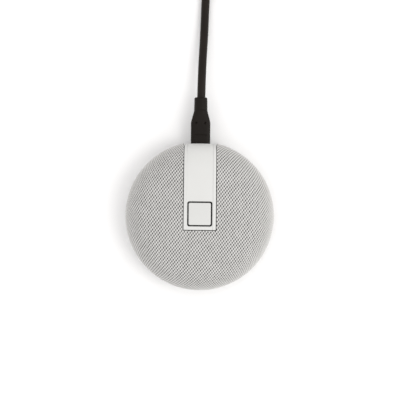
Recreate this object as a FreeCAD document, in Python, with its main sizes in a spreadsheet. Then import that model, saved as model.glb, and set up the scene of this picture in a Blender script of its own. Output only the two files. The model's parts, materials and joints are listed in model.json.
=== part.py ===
import FreeCAD, Part
import math
import os
import re

import Sketcher

# Smart speaker puck with a USB lead. Millimetres, +Z up, +Y to the rear.
# The origin is at the bottom centre of the puck, on the surface it stands on.

DIMENSIONS = {
    # outer form
    "puck_radius": 45.0,
    "puck_height": 33.0,
    "dome_radius": 148.0,
    "shoulder_radius": 18.0,
    "tuck_radius": 14.0,
    "hem_height": 6.5,
    # cloth cover and the grille frame under it
    "cloth": 1.15,
    "frame_depth": 1.2,
    "frame_thickness": 1.6,
    "grille_hole": 3.0,
    "slot_gap": 0.55,
    # strap over the top and down the rear
    "strap_width": 19.2,
    "strap_front": 8.2,
    "strap_rear": 44.3,
    "strap_back": 43.7,
    "strap_proud": 0.3,
    "strap_thickness": 2.0,
    "strap_shoulder": 18.3,
    "strap_skirt": 30.0,
    "strap_bottom": 6.0,
    "strap_edge_round": 0.45,
    "channel_depth": 3.6,
    "channel_floor": 1.2,
    "channel_wall": 1.2,
    # button
    "button_hole": 14.8,
    "button_size": 13.2,
    "button_place": 1.33,
    "button_corner": 0.9,
    "edge_round": 0.35,
    "cap_bottom": 31.0,
    "ring_gap": 0.15,
    "ring_top": 32.3,
    "ring_bottom": 30.95,
    "stem_radius": 2.0,
    # base
    "pad_radius": 31.0,
    "pad_thickness": 1.6,
    "pan_bottom": 0.9,
    "pan_floor": 3.0,
    "pan_rim": 5.6,
    "pan_radius": 43.0,
    "pan_foot": 34.0,
    "pan_curve": 14.0,
    "lip_radius": 40.4,
    "lip_inner": 38.6,
    "lip_top": 9.5,
    "ballast_radius": 23.4,
    "ballast_thickness": 2.5,
    "leg_place": 27.5,
    "leg_radius": 3.5,
    # boards
    "board_bottom": 7.6,
    "board_thickness": 1.2,
    "board_radius": 33.0,
    "upper_board_bottom": 24.6,
    "upper_board_top": 25.4,
    "upper_board_inner": 24.0,
    "upper_board_outer": 30.0,
    "post_place": 27.0,
    # chassis plate
    "plate_bottom": 19.0,
    "plate_top": 21.0,
    "plate_radius": 39.0,
    "plate_opening": 19.5,
    # driver
    "flange_half": 22.0,
    "flange_bottom": 21.5,
    "flange_top": 22.5,
    "driver_screw_place": 18.0,
    "yoke_radius": 10.0,
    "yoke_inner": 8.4,
    "yoke_bottom": 10.6,
    "yoke_top": 16.0,
    "pole_radius": 6.5,
    "coil_inner": 7.0,
    "coil_outer": 7.6,
    # port and plug
    "port_height": 10.4,
    "plug_face": 43.3,
    "plug_width": 11.8,
    "plug_depth": 6.4,
    "plug_shoulder": 56.7,
    "relief_start": 64.0,
    "relief_end": 72.0,
    "relief_width": 8.15,
    "shell_half_width": 4.125,
    "shell_half_height": 1.2,
    "insertion": 6.65,
    # lead
    "cord_diameter": 5.0,
    "coil_mean_radius": 25.85,
    "coil_turns_across": 4.0,
    "coil_layers": 2.0,
    "coil_entry_x": 3.0,
    "coil_centre_y": 172.0,
    "tie_width": 8.0,
    "tie_thickness": 0.8,
    "far_plug_offset": 22.0,
    "far_plug_height": 14.1,
}

# The lead's route from the plug to the coil, and from the coil's top to the far plug.
LEAD_ROUTE = [
    (0.2, 72.0, 10.4),
    (0.4, 85.0, 10.0),
    (1.0, 99.0, 6.9),
    (1.7, 113.5, 3.4),
    (2.1, 129.0, 2.55),
    (2.9, 145.0, 2.5),
    (3.0, 163.0, 2.5),
]
# angle round the coil in degrees, radius, height
TAIL_ROUTE = [
    (-82.0, 29.3, 10.1),
    (-102.0, 28.2, 12.0),
    (-122.0, 26.6, 13.1),
    (-145.0, 24.6, 13.9),
    (-168.0, 22.5, 14.1),
]
TAIL_END_LEAD = 4.0
BEND_SHARE = 0.45

doc = FreeCAD.newDocument("SmartSpeaker")
sheet = doc.addObject("Spreadsheet::Sheet", "Dims")
for row, (alias, value) in enumerate(DIMENSIONS.items(), start=1):
    sheet.set(f"A{row}", alias)
    sheet.set(f"B{row}", str(value))
    sheet.setAlias(f"B{row}", alias)
doc.recompute()

NODES = {}


def expression(text):
    """The text with each dimension's name pointing at the sheet."""
    return re.sub(r"[a-z][a-z_]+", lambda m: "Dims." + m[0] if m[0] in DIMENSIONS else m[0], text)


def value(text):
    """What an expression is worth now."""
    return float(sheet.evalExpression(expression(text)))


def bind(feature, **sizes):
    for name, text in sizes.items():
        feature.setExpression(name.replace("__", "."), expression(text))


def keep(node, feature):
    """Name a finished sub-part."""
    feature.Label = node
    NODES[node] = feature
    return feature


def block(name, x, y, z):
    """A box between three pairs of expressions."""
    feature = doc.addObject("Part::Box", name)
    bind(feature, Length=f"({x[1]}) - ({x[0]})", Width=f"({y[1]}) - ({y[0]})",
         Height=f"({z[1]}) - ({z[0]})")
    bind(feature, Placement__Base__x=x[0], Placement__Base__y=y[0], Placement__Base__z=z[0])
    return feature


def both_sides(half):
    return (f"-({half})", half)


def post(name, radius, z, x="0", y="0"):
    """An upright cylinder between two heights."""
    feature = doc.addObject("Part::Cylinder", name)
    bind(feature, Radius=radius, Height=f"({z[1]}) - ({z[0]})")
    bind(feature, Placement__Base__x=x, Placement__Base__y=y, Placement__Base__z=z[0])
    return feature


def bar(name, radius, y, x="0", z="0"):
    """A cylinder along Y between two places."""
    feature = doc.addObject("Part::Cylinder", name)
    bind(feature, Radius=radius, Height=f"({y[1]}) - ({y[0]})")
    feature.Placement.Rotation = FreeCAD.Rotation(FreeCAD.Vector(1, 0, 0), -90)
    bind(feature, Placement__Base__x=x, Placement__Base__y=y[0], Placement__Base__z=z)
    return feature


def flat_bar(name, half_width, half_height, y, z="port_height"):
    """A bar along Y whose section is two half rounds joined by flats."""
    straight = f"({half_width}) - ({half_height})"
    middle = block(f"{name}Middle", both_sides(straight), y,
                   (f"{z} - ({half_height})", f"{z} + ({half_height})"))
    left = bar(f"{name}Left", half_height, y, f"-({straight})", z)
    right = bar(f"{name}Right", half_height, y, straight, z)
    return fuse(name, middle, left, right)


def fuse(name, *shapes):
    feature = doc.addObject("Part::MultiFuse", name)
    feature.Shapes = list(shapes)
    feature.Refine = True
    return feature


def group(name, *shapes):
    feature = doc.addObject("Part::Compound", name)
    feature.Links = list(shapes)
    return feature


def cut(name, base, *tools):
    feature = doc.addObject("Part::Cut", name)
    feature.Base = base
    feature.Tool = tools[0] if len(tools) == 1 else group(f"{name}Tools", *tools)
    return feature


def common(name, one, other):
    feature = doc.addObject("Part::MultiCommon", name)
    feature.Shapes = [one, other]
    return feature


def rounded(name, base, radius, wanted):
    """Round the base's edges for which wanted(edge) is true."""
    doc.recompute()
    size = value(radius)
    feature = doc.addObject("Part::Fillet", name)
    feature.Base = base
    feature.Edges = [(i, size, size) for i, edge in enumerate(base.Shape.Edges, start=1) if wanted(edge)]
    return feature


def middle(edge):
    return edge.valueAt((edge.FirstParameter + edge.LastParameter) / 2)


def upright(edge):
    ends = edge.BoundBox
    return max(ends.XLength, ends.YLength) < 1e-6


def around(radius, *degrees):
    """Pairs of x and y expressions at these angles on a circle."""
    return [(f"({radius}) * cos({a})", f"({radius}) * sin({a})") for a in degrees]


def origin_plane(body, role):
    return next(f for f in body.Origin.OriginFeatures if f.Role == role)


def arc_through(start, end, radius, side):
    """The short arc from start to end with its centre on the given side of the chord."""
    chord = end - start
    half = chord.Length / 2
    normal = FreeCAD.Vector(-chord.y, chord.x, 0).normalize() * side
    centre = (start + end) / 2 + normal * math.sqrt(radius**2 - half**2)
    circle = Part.Circle(centre, FreeCAD.Vector(0, 0, 1), radius)
    first, last = (start, end) if side > 0 else (end, start)
    angles = [math.atan2(p.y - centre.y, p.x - centre.x) for p in (first, last)]
    return Part.ArcOfCircle(circle, angles[0], angles[1])


def sketch(body, name, role, corners, arcs=None):
    """A closed outline. Corners are pairs of expressions; arcs map a corner to (radius, side)."""
    arcs = arcs or {}
    outline = body.newObject("Sketcher::SketchObject", name)
    outline.AttachmentSupport = [(origin_plane(body, role), "")]
    outline.MapMode = "FlatFace"
    places = [FreeCAD.Vector(value(x), value(y), 0) for x, y in corners]
    count = len(corners)
    ends = []
    for i, start in enumerate(places):
        end = places[(i + 1) % count]
        if i in arcs:
            radius, side = arcs[i]
            outline.addGeometry(arc_through(start, end, value(radius), side), False)
            ends.append((1, 2) if side > 0 else (2, 1))
        else:
            outline.addGeometry(Part.LineSegment(start, end), False)
            ends.append((1, 2))
    for i in range(count):
        before = (i - 1) % count
        outline.addConstraint(Sketcher.Constraint("Coincident", before, ends[before][1], i, ends[i][0]))
    for i, (x, y) in enumerate(corners):
        for kind, text, size in (("DistanceX", x, places[i].x), ("DistanceY", y, places[i].y)):
            number = outline.addConstraint(Sketcher.Constraint(kind, -1, 1, i, ends[i][0], size))
            outline.setExpression(f"Constraints[{number}]", expression(text))
    for i, (radius, side) in arcs.items():
        number = outline.addConstraint(Sketcher.Constraint("Radius", i, value(radius)))
        outline.setExpression(f"Constraints[{number}]", expression(radius))
    return outline


def turned(name, corners, arcs=None):
    """A body turned about the Z axis from a half outline in the XZ plane."""
    body = doc.addObject("PartDesign::Body", name)
    turning = body.newObject("PartDesign::Revolution", f"{name}Turning")
    outline = sketch(body, f"{name}Outline", "XZ_Plane", corners, arcs)
    turning.Profile = outline
    turning.ReferenceAxis = (outline, ["V_Axis"])
    turning.Angle = 360
    return body


def ring(name, inner, outer, z):
    return turned(name, [(inner, z[0]), (outer, z[0]), (outer, z[1]), (inner, z[1])])


def padded(name, role, corners, length, midplane=False, arcs=None):
    """A body padded from an outline in an origin plane."""
    body = doc.addObject("PartDesign::Body", name)
    pad = body.newObject("PartDesign::Pad", f"{name}Pad")
    pad.Profile = sketch(body, f"{name}Outline", role, corners, arcs)
    bind(pad, Length=length)
    pad.Midplane = midplane
    return body


# ---- outer form ----
DOME_CENTRE = "(puck_height - dome_radius)"
SHOULDER_X = "(puck_radius - shoulder_radius)"
SHOULDER_SINE = f"({SHOULDER_X} / (dome_radius - shoulder_radius))"
SHOULDER_COSINE = f"sqrt(1 - {SHOULDER_SINE}^2)"
SHOULDER_Z = f"({DOME_CENTRE} + (dome_radius - shoulder_radius) * {SHOULDER_COSINE})"


def form_points(offset, foot):
    """Four corners of the puck's profile at an offset from the cloth's outer face."""
    drop = f"({SHOULDER_Z} - {foot})"
    return [
        ("0", f"puck_height + ({offset})"),
        (f"(dome_radius + ({offset})) * {SHOULDER_SINE}",
         f"{DOME_CENTRE} + (dome_radius + ({offset})) * {SHOULDER_COSINE}"),
        (f"puck_radius + ({offset})", SHOULDER_Z),
        (f"puck_radius - tuck_radius + sqrt((tuck_radius + ({offset}))^2 - {drop}^2)", foot),
    ]


def form_shell(name, outer, inner, foot="hem_height"):
    """A shell of the puck's form between two offsets, open at the foot."""
    corners = form_points(outer, foot) + form_points(inner, foot)[::-1]
    arcs = {}
    for step, radius in enumerate(("dome", "shoulder", "tuck")):
        arcs[step] = (f"{radius}_radius + ({outer})", -1)
        arcs[6 - step] = (f"{radius}_radius + ({inner})", 1)
    return turned(name, corners, arcs)


SLOT_HALF = "strap_width / 2 + slot_gap"
SLOT_FRONT = "-(strap_front + slot_gap)"
REAR = "60"
CEILING = "40"


def strap_slot(name, room="0", floor="0"):
    """The block of space that the strap's slot takes out of the shells."""
    half = f"{SLOT_HALF} + {room}"
    return block(name, both_sides(half), (f"{SLOT_FRONT} - {room}", REAR), (floor, CEILING))


def cloth_cover():
    shell = form_shell("ClothShell", "0", "-cloth")
    keep("fabric_cover", cut("ClothCover", shell, strap_slot("ClothSlot")))


def grille_frame():
    inner = "-(frame_depth + frame_thickness)"
    shell = form_shell("GrilleShell", "-frame_depth", inner)
    drilled = shell
    for number, (place, count, turn) in enumerate(GRILLE_RINGS):
        holes = shell.newObject("PartDesign::Pocket", f"GrilleHoles{number}")
        circle = shell.newObject("Sketcher::SketchObject", f"GrilleHole{number}")
        circle.AttachmentSupport = [(origin_plane(shell, "XY_Plane"), "")]
        circle.MapMode = "FlatFace"
        at = FreeCAD.Vector(place * math.cos(math.radians(turn)), place * math.sin(math.radians(turn)), 0)
        circle.addGeometry(Part.Circle(at, FreeCAD.Vector(0, 0, 1), value("grille_hole / 2")), False)
        circle.addConstraint(Sketcher.Constraint("DistanceX", -1, 1, 0, 3, at.x))
        circle.addConstraint(Sketcher.Constraint("DistanceY", -1, 1, 0, 3, at.y))
        number_of_size = circle.addConstraint(Sketcher.Constraint("Radius", 0, value("grille_hole / 2")))
        circle.setExpression(f"Constraints[{number_of_size}]", expression("grille_hole / 2"))
        holes.Profile = circle
        holes.Type = "ThroughAll"
        holes.Reversed = True
        doc.recompute()
        pattern = shell.newObject("PartDesign::PolarPattern", f"GrilleRing{number}")
        pattern.Originals = [holes]
        pattern.Axis = (circle, ["N_Axis"])
        pattern.Angle = 360
        pattern.Occurrences = count
        shell.Tip = pattern
        doc.recompute()
    open_shell = cut("GrilleOpen", drilled, strap_slot("GrilleSlot"))
    floor_shell = form_shell("ChannelFloorShell", "-channel_depth", "-(channel_depth + channel_floor)")
    wall_shell = form_shell("ChannelWallShell", "-frame_depth", "-(channel_depth + channel_floor)")
    channel = common("ChannelFloor", floor_shell, strap_slot("ChannelBlock", "channel_wall"))
    wall_block = cut("WallBlock", strap_slot("WallOuter", "channel_wall"), strap_slot("WallInner"))
    walls = common("ChannelWalls", wall_shell, wall_block)
    whole = fuse("GrilleWhole", open_shell, channel, walls)
    stem_hole = post("StemHole", "stem_radius + 0.6", ("20", "31"), y="button_place")
    port_window = block("PortWindow", both_sides("8.5"), ("35", REAR), ("6", "14.6"))
    windows = [
        block(f"LightWindow{i}", (f"{x} - {half_x}", f"{x} + {half_x}"),
              (f"button_place + {y} - {half_y}", f"button_place + {y} + {half_y}"), ("26", "31"))
        for i, (x, y, half_x, half_y) in enumerate(LIGHT_PLACES)
    ]
    microphone_holes = [post(f"MicHole{i}", "0.8", ("24", "31"), x, y)
                        for i, (x, y) in enumerate(around("post_place", *DIAGONALS))]
    keep("grille_frame", cut("GrilleFrame", whole, stem_hole, port_window, *windows, *microphone_holes))


# radius of each ring of grille holes, how many holes, and the turn of the first
GRILLE_RINGS = [(16.0, 16, 0), (22.5, 24, 7.5), (29.5, 32, 0), (36.0, 40, 4.5)]
# x and y from the button's centre, then the half size of each light window
LIGHT_PLACES = [(7.3, 0, 0.6, 1.5), (-7.3, 0, 0.6, 1.5), (0, 7.3, 1.5, 0.6), (0, -7.3, 1.5, 0.6)]
DIAGONALS = (45, 135, 225, 315)
BOARD_SCREWS = (0, 180, 270)


def hem_ring():
    shell = ring("HemRingBody", "41.0", "43.6", ("5.7", "hem_height"))
    keep("fabric_hem_ring", cut("HemRing", shell, strap_slot("HemSlot")))


def strap_profile(name, solid_from=None):
    """The strap's shell, or everything under one depth of it."""
    sine = "((strap_rear - strap_shoulder) / (dome_radius + strap_proud - strap_shoulder))"
    cosine = f"sqrt(1 - {sine}^2)"
    centre_z = f"({DOME_CENTRE} + (dome_radius + strap_proud - strap_shoulder) * {cosine})"
    corners = []
    for depth in ("0", "strap_thickness") if solid_from is None else (solid_from,):
        dome = f"(dome_radius + strap_proud - {depth})"
        skirt = f"(strap_skirt - {depth})"
        points = [
            ("0", f"puck_height + strap_proud - {depth}"),
            (f"{dome} * {sine}", f"{DOME_CENTRE} + {dome} * {cosine}"),
            (f"strap_rear - {depth}", centre_z),
            (f"strap_rear - strap_skirt + sqrt({skirt}^2 - ({centre_z} - strap_bottom)^2)", "strap_bottom"),
        ]
        corners += points if not corners else points[::-1]
    depth = solid_from or "0"
    arcs = {
        0: (f"dome_radius + strap_proud - {depth}", -1),
        1: (f"strap_shoulder - {depth}", -1),
        2: (f"strap_skirt - {depth}", -1),
    }
    if solid_from is not None:
        return turned(name, corners + [("0", "strap_bottom")], arcs)
    arcs[4] = ("strap_skirt - strap_thickness", 1)
    arcs[5] = ("strap_shoulder - strap_thickness", 1)
    arcs[6] = ("dome_radius + strap_proud - strap_thickness", 1)
    return turned(name, corners, arcs)


def strap_cover():
    half = "strap_width / 2"
    band = common("StrapBand", strap_profile("StrapProfile"),
                  block("StrapBlock", both_sides(half), ("-strap_front", "strap_back"), ("0", CEILING)))
    hole = square_post("ButtonHole", "button_hole / 2", ("25", CEILING), "button_corner + 0.3")
    recess = flat_bar("PortRecess", "6.3", "3.5", ("plug_face", REAR))
    opening = flat_bar("PortOpening", "4.6", "1.75", ("38", REAR))
    core = strap_profile("StrapCore", "strap_thickness / 2")
    open_band = cut("StrapOpen", band, hole, recess)
    doc.recompute()

    def on_outside(edge):
        point = middle(edge)
        size = edge.BoundBox
        form_seam = abs(point.y) < 1e-6
        level_seam = size.ZLength < 1e-6 and size.YLength > 1e-3 and point.z > value("strap_bottom") + 3
        in_recess = point.y > value("plug_face") - 0.1 and abs(point.x) < 6.35 and (
            size.YLength < 1e-3 or max(size.XLength, size.ZLength) < 1e-3)
        on_back = point.y > value("strap_back") - 0.1
        left_sharp = form_seam or level_seam or in_recess or on_back or upright(edge)
        return not left_sharp and outside_core(point, core.Shape)

    softened = rounded("StrapSoftened", open_band, "strap_edge_round", on_outside)
    keep("strap_cover", cut("StrapCover", softened, opening))


def outside_core(point, core):
    """True for a point on the strap's outer face rather than on its inner one."""
    return not any(solid.isInside(point, 1e-4, True) for solid in core.Solids)


def square_post(name, half, z, corner=None):
    """An upright square about the button's centre, with round corners if asked."""
    y = (f"button_place - ({half})", f"button_place + ({half})")
    if corner is None:
        return block(name, both_sides(half), y, z)
    return rounded(name, block(f"{name}Block", both_sides(half), y, z), corner, upright)


def status_light_ring():
    outer = square_post("LightOuter", "button_hole / 2", ("ring_bottom", "ring_top"), "button_corner + 0.3")
    inner = square_post("LightInner", "button_size / 2 + ring_gap", ("20", CEILING), "button_corner")
    keep("status_light_ring", cut("StatusLightRing", outer, inner))


def button_cap():
    crown = common("ButtonCrown", dome_under_strap("CrownForm"),
                   square_post("ButtonSquare", "button_size / 2", ("cap_bottom", CEILING), "button_corner"))
    crown = rounded("ButtonSoftened", crown, "edge_round",
                    lambda edge: middle(edge).z > value("cap_bottom") + 1.9)
    tabs = [
        block(f"ButtonTab{i}", (f"{x} * 6.8 - 1.5", f"{x} * 6.8 + 1.5"),
              (f"button_place + {y} * 6.8 - 1.5", f"button_place + {y} * 6.8 + 1.5"), ("30.1", "30.7"))
        for i, (x, y) in enumerate(((1, 1), (1, -1), (-1, 1), (-1, -1)))
    ]
    skirt = square_post("ButtonSkirt", "button_size / 2 - 0.6", ("30.1", "31.4"))
    hollow = square_post("ButtonHollow", "button_size / 2 - 1.8", ("29", "31.4"))
    rim = cut("ButtonRim", skirt, hollow)
    stem = post("ButtonStem", "stem_radius", ("27.5", "31.4"), y="button_place")
    keep("button_cap", fuse("ButtonCap", crown, rim, stem, *tabs))


def dome_under_strap(name):
    """The ball that trims the button's top to the strap's dome."""
    dome = doc.addObject("Part::Sphere", name)
    bind(dome, Radius="dome_radius + strap_proud - 0.05", Placement__Base__z=DOME_CENTRE)
    return dome


def switch_parts():
    top = "upper_board_top"
    body = square_post("SwitchBlock", "2.6", (top, f"{top} + 1.5"))
    bore = post("SwitchBore", "1.4", (f"{top} + 0.5", f"{top} + 2"), y="button_place")
    keep("tact_switch_body", cut("TactSwitch", body, bore))
    keep("switch_plunger", post("SwitchPlunger", "1.2", (f"{top} + 1.1", f"{top} + 2.1"), y="button_place"))


# ---- base ----
def base_pan():
    corners = [
        ("0", "pan_bottom"),
        ("pan_foot", "pan_bottom"),
        ("pan_radius", "pan_rim"),
        ("lip_radius", "pan_rim"),
        ("lip_radius", "lip_top"),
        ("lip_inner", "lip_top"),
        ("lip_inner", "pan_floor + 1"),
        ("lip_inner - 1", "pan_floor"),
        ("0", "pan_floor"),
    ]
    pan = turned("PanBody", corners, {1: ("pan_curve", 1)})
    bosses = [post(f"PanBoss{i}", "leg_radius", ("pan_floor - 0.5", "5"), x, y)
              for i, (x, y) in enumerate(around("leg_place", *DIAGONALS))]
    stands = [post(f"BoardStand{i}", "2.5", ("pan_floor - 0.5", "board_bottom"), x, y)
              for i, (x, y) in enumerate(around("29", *BOARD_SCREWS))]
    solid = fuse("PanSolid", pan, *bosses, *stands)
    recess = post("PadRecess", "pad_radius + 0.1", ("0", "pad_thickness"))
    notch = block("PortNotch", both_sides("12"), ("30", REAR), ("pan_rim + 0.4", CEILING))
    bores = []
    for i, (x, y) in enumerate(around("leg_place", *DIAGONALS)):
        bores.append(post(f"HeadBore{i}", "2.4", ("1", "3.2"), x, y))
        bores.append(post(f"ShankBore{i}", "1.35", ("1", "6"), x, y))
    for i, (x, y) in enumerate(around("29", *BOARD_SCREWS)):
        bores.append(post(f"StandBore{i}", "1.05", ("board_bottom - 3.6", "10"), x, y))
    keep("base_pan", cut("BasePan", solid, recess, notch, *bores))


def screw(name, head, shank, head_z, shank_z, x, y):
    """A headed screw as one solid."""
    return fuse(name, post(f"{name}Head", head, head_z, x, y), post(f"{name}Shank", shank, shank_z, x, y))


def screws():
    keep("base_screws", group("BaseScrews", *[
        screw(f"BaseScrew{i}", "2.2", "1.25", ("1.65", "3.2"), ("3.1", "11"), x, y)
        for i, (x, y) in enumerate(around("leg_place", *DIAGONALS))]))
    keep("main_board_screws", group("MainBoardScrews", *[
        screw(f"BoardScrew{i}", "1.9", "1.0", ("board_bottom + board_thickness", "10.1"),
              ("4.2", "9"), x, y)
        for i, (x, y) in enumerate(around("29", *BOARD_SCREWS))]))
    keep("driver_screws", group("DriverScrews", *[
        screw(f"DriverScrew{i}", "1.8", "1.0", ("flange_top", "23.8"), ("17.4", "22.6"), x, y)
        for i, (x, y) in enumerate(DRIVER_CORNERS)]))
    keep("upper_board_screws", group("UpperBoardScrews", *[
        screw(f"UpperScrew{i}", "1.6", "0.8", ("upper_board_top", "26.4"), ("21.6", "25.5"), x, y)
        for i, (x, y) in enumerate(around("post_place", *BOARD_SCREWS))]))


DRIVER_CORNERS = [(f"{x} * driver_screw_place", f"{y} * driver_screw_place")
                  for x, y in ((1, 1), (-1, 1), (-1, -1), (1, -1))]


def base_parts():
    disc = post("FootDisc", "pad_radius", ("0", "pad_thickness"))
    keep("foot_pad", rounded("FootPad", disc, "edge_round", lambda edge: edge.BoundBox.ZMax < 1e-6))
    keep("ballast_plate", post("BallastPlate", "ballast_radius",
                               ("pan_floor", "pan_floor + ballast_thickness")))


def mid_chassis():
    plate = ring("ChassisPlate", "plate_opening", "plate_radius", ("plate_bottom", "plate_top"))
    legs = [post(f"ChassisLeg{i}", "leg_radius", ("5", "plate_bottom + 0.5"), x, y)
            for i, (x, y) in enumerate(around("leg_place", *DIAGONALS))]
    posts = [post(f"ChassisPost{i}", "2.2", ("plate_top - 0.5", "upper_board_bottom"), x, y)
             for i, (x, y) in enumerate(around("post_place", *BOARD_SCREWS))]
    solid = fuse("ChassisSolid", plate, *legs, *posts)
    bores = [post(f"LegBore{i}", "1.3", ("4", "12"), x, y)
             for i, (x, y) in enumerate(around("leg_place", *DIAGONALS))]
    bores += [post(f"FlangeBore{i}", "1.05", ("16.8", "22"), x, y)
              for i, (x, y) in enumerate(DRIVER_CORNERS)]
    bores += [post(f"PostBore{i}", "0.85", ("21.2", "26"), x, y)
              for i, (x, y) in enumerate(around("post_place", *BOARD_SCREWS))]
    slot_block = block("FlexSlotBlock", ("33", "36"), both_sides("3.6"), ("18", "22"))
    slot = turned_copy("FlexSlot", slot_block, FLEX_ANGLE)
    rear = block("ChassisRearCut", both_sides("12.5"), ("35", REAR), ("18", "22"))
    keep("mid_chassis", cut("MidChassis", solid, slot, rear, *bores))


FLEX_ANGLE = 202.5


def turned_copy(name, feature, degrees):
    """The feature turned about the Z axis, as a compound with its own Placement."""
    turned_group = group(name, feature)
    turned_group.Placement.Rotation = FreeCAD.Rotation(FreeCAD.Vector(0, 0, 1), degrees)
    return turned_group


# ---- boards ----
def main_board():
    z = ("board_bottom", "board_bottom + board_thickness")
    disc = post("BoardDisc", "board_radius", z)
    tab = block("BoardTab", both_sides("8"), ("25", "40.3"), z)
    blank = fuse("BoardBlank", disc, tab)
    bores = [post(f"LegNotch{i}", "leg_radius + 0.4", ("5", "10"), x, y)
             for i, (x, y) in enumerate(around("leg_place", *DIAGONALS))]
    bores += [post(f"BoardBore{i}", "1.1", ("5", "10"), x, y)
              for i, (x, y) in enumerate(around("29", *BOARD_SCREWS))]
    keep("main_board", cut("MainBoard", blank, *bores))


def on_board(name, x, y, size_x, size_y, height):
    """A component standing on the main board."""
    top = "board_bottom + board_thickness"
    return block(name, (f"{x - size_x / 2}", f"{x + size_x / 2}"),
                 (f"{y - size_y / 2}", f"{y + size_y / 2}"), (top, f"{top} + {height}"))


def board_components():
    keep("shield_can", cut("ShieldCan", on_board("CanOuter", -19.5, 6, 14, 12, 1.8),
                           on_board("CanInner", -19.5, 6, 13.4, 11.4, 1.5)))
    keep("board_chips", group("BoardChips", on_board("RadioChip", -21, 6, 6, 6, 0.9),
                              on_board("MemoryChip", -15.6, 8, 3, 4, 0.8),
                              on_board("AmplifierChip", 18, -8, 5, 5, 0.9),
                              on_board("PowerChip", 6, 27, 4, 4, 0.9),
                              on_board("CodecChip", 18, 6, 6, 6, 0.9)))
    top = "board_bottom + board_thickness"
    keep("board_capacitors", group("BoardCapacitors", *[
        post(f"Capacitor{i}", "2.5", (top, f"{top} + 5.5"), x, y)
        for i, (x, y) in enumerate((("24", "0"), ("13", "-19"), ("-8", "25")))]))
    keep("speaker_connector", on_board("SpeakerConnector", 0, -22, 7, 4, 2.6))
    leg = on_board("AntennaFoot", 27.5, 10, 2, 9, 0.6)
    keep("wifi_antenna", fuse("WifiAntenna", leg, on_board("AntennaFin", 28.3, 10, 0.4, 9, 4.5)))


def usb_socket():
    outer = flat_bar("SocketOuter", "4.47", "1.6", ("35.9", "43.2"))
    inner = flat_bar("SocketInner", "4.17", "1.3", ("36.6", "45"))
    keep("usb_socket_shell", cut("SocketShell", outer, inner))
    keep("usb_socket_tongue", block("SocketTongue", both_sides("3.345"), ("36.6", "41.6"),
                                    ("port_height - 0.35", "port_height + 0.35")))
    gasket = block("GasketOuter", both_sides("6.2"), ("40.4", "41.4"), ("7.9", "13.1"))
    keep("port_gasket", cut("PortGasket", gasket, flat_bar("GasketHole", "4.55", "1.68", ("40", "43"))))


def upper_board():
    z = ("upper_board_bottom", "upper_board_top")
    annulus = ring("UpperRing", "upper_board_inner", "upper_board_outer", z)
    bridge = block("UpperBridge", both_sides("upper_board_inner + 1"), both_sides("4.5"), z)
    tab = square_post("UpperTab", "9", z)
    blank = fuse("UpperBlank", annulus, bridge, tab)
    rear = block("UpperRearCut", both_sides("12.5"), ("20", REAR), ("24", "26"))
    bores = [post(f"UpperBore{i}", "0.95", ("24", "26"), x, y)
             for i, (x, y) in enumerate(around("post_place", *BOARD_SCREWS))]
    keep("upper_board", cut("UpperBoard", blank, rear, *bores))
    lights = [block(f"Light{i}", (f"{x * 1.0} - 0.6", f"{x * 1.0} + 0.6"),
                    (f"button_place + {y * 1.0} - 0.6", f"button_place + {y * 1.0} + 0.6"),
                    ("upper_board_top", "upper_board_top + 0.6"))
              for i, (x, y, _, _) in enumerate(LIGHT_PLACES)]
    keep("status_leds", group("StatusLeds", *lights))
    capsules = []
    gaskets = []
    for i, (x, y) in enumerate(around("post_place", *DIAGONALS)):
        span = (f"{x} - 1.5", f"{x} + 1.5")
        capsules.append(block(f"Mic{i}", span, (f"{y} - 1.5", f"{y} + 1.5"), ("upper_board_top", "26.4")))
        outer = post(f"MicGasketOuter{i}", "1.8", ("26.4", "27.2"), x, y)
        gaskets.append(cut(f"MicGasket{i}", outer, post(f"MicGasketBore{i}", "0.7", ("26", "28"), x, y)))
    keep("mic_capsules", group("MicCapsules", *capsules))
    keep("mic_gaskets", group("MicGaskets", *gaskets))


def flex_link():
    half = 0.15
    out, across = 34.5, 29.0
    up, down = 23.9, 9.6
    corners = [(across, up - half), (out - half, up - half), (out - half, down + half), (31.0, down + half),
               (31.0, down - half), (out + half, down - half), (out + half, up + half), (across, up + half)]
    strip = padded("FlexStrip", "XZ_Plane", [(str(x), str(z)) for x, z in corners], "6", midplane=True)
    keep("board_link_flex", turned_copy("FlexLink", strip, FLEX_ANGLE))
    ends = [block("FlexEndUpper", ("25", "29"), both_sides("3.5"), ("23.2", "upper_board_bottom")),
            block("FlexEndLower", ("27", "31"), both_sides("3.5"),
                  ("board_bottom + board_thickness", "10.4"))]
    keep("flex_connectors", turned_copy("FlexConnectors", group("FlexEnds", *ends), FLEX_ANGLE))


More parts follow.
